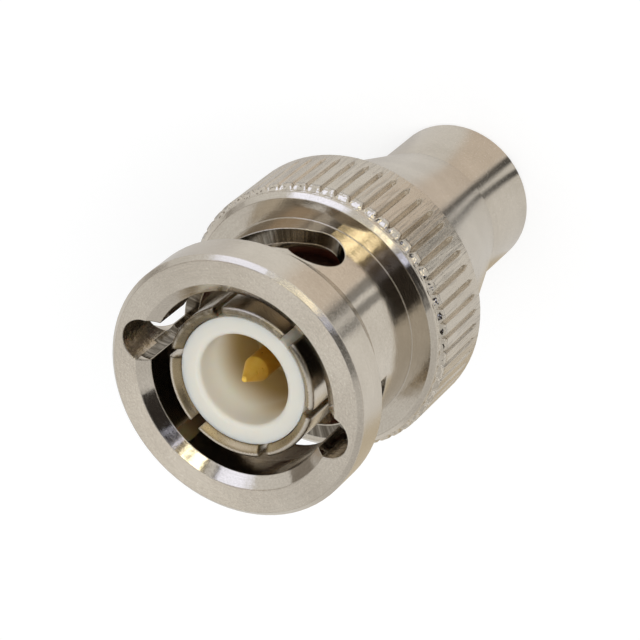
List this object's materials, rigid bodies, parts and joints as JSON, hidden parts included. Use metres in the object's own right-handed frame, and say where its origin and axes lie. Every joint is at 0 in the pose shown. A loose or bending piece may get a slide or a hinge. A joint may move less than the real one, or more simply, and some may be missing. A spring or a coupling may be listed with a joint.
{
  "type": "bnc to rca adapter",
  "caption": "Straight adapter with a knurled bayonet plug on one end and a phono jack barrel on the other, for joining coaxial video leads.",
  "frame": {"origin": "centre of the rca end face, on the axis", "axes": "+Z along the axis, from the rca end to the bnc mouth; at rest the lock holes are at -62.5 and 117.5 degrees from +X about +Z"},
  "size_m": [0.0144, 0.0144, 0.0258],
  "materials": {
    "rear_body": "nickel plated brass, fine turned",
    "coupling_nut": "nickel plated brass, turned, polished waist",
    "thrust_washer": "nickel plated brass",
    "wave_washer": "spring steel",
    "outer_contact": "nickel plated brass, fine turned",
    "seal_ring": "silicone rubber",
    "plug_insulator": "white plastic",
    "centre_pin": "gold plated",
    "jack_insulator": "white plastic",
    "jack_contact": "gold plated"
  },
  "bodies": {
    "adapter": {"rear_body": "rear_body", "outer_contact": "outer_contact", "seal_ring": "seal_ring", "plug_insulator": "plug_insulator", "centre_pin": "centre_pin", "jack_insulator": "jack_insulator", "jack_contact": "jack_contact", "wave_washer": "wave_washer"},
    "washer": {"thrust_washer": "thrust_washer"},
    "nut": {"coupling_nut": "coupling_nut"}
  },
  "joints": [
    {"name": "nut_pull", "type": "slide", "parent": "adapter", "child": "washer", "axis": [0, 0, 1], "range_m": [0, 0.0009], "stiffness_N_per_m": 8000, "springref_m": -0.0005, "deforming": ["wave_washer"]},
    {"name": "nut_turn", "type": "hinge", "parent": "washer", "child": "nut", "pos_m": [0, 0, 0.0129], "axis": [0, 0, 1], "continuous": true}
  ]
}
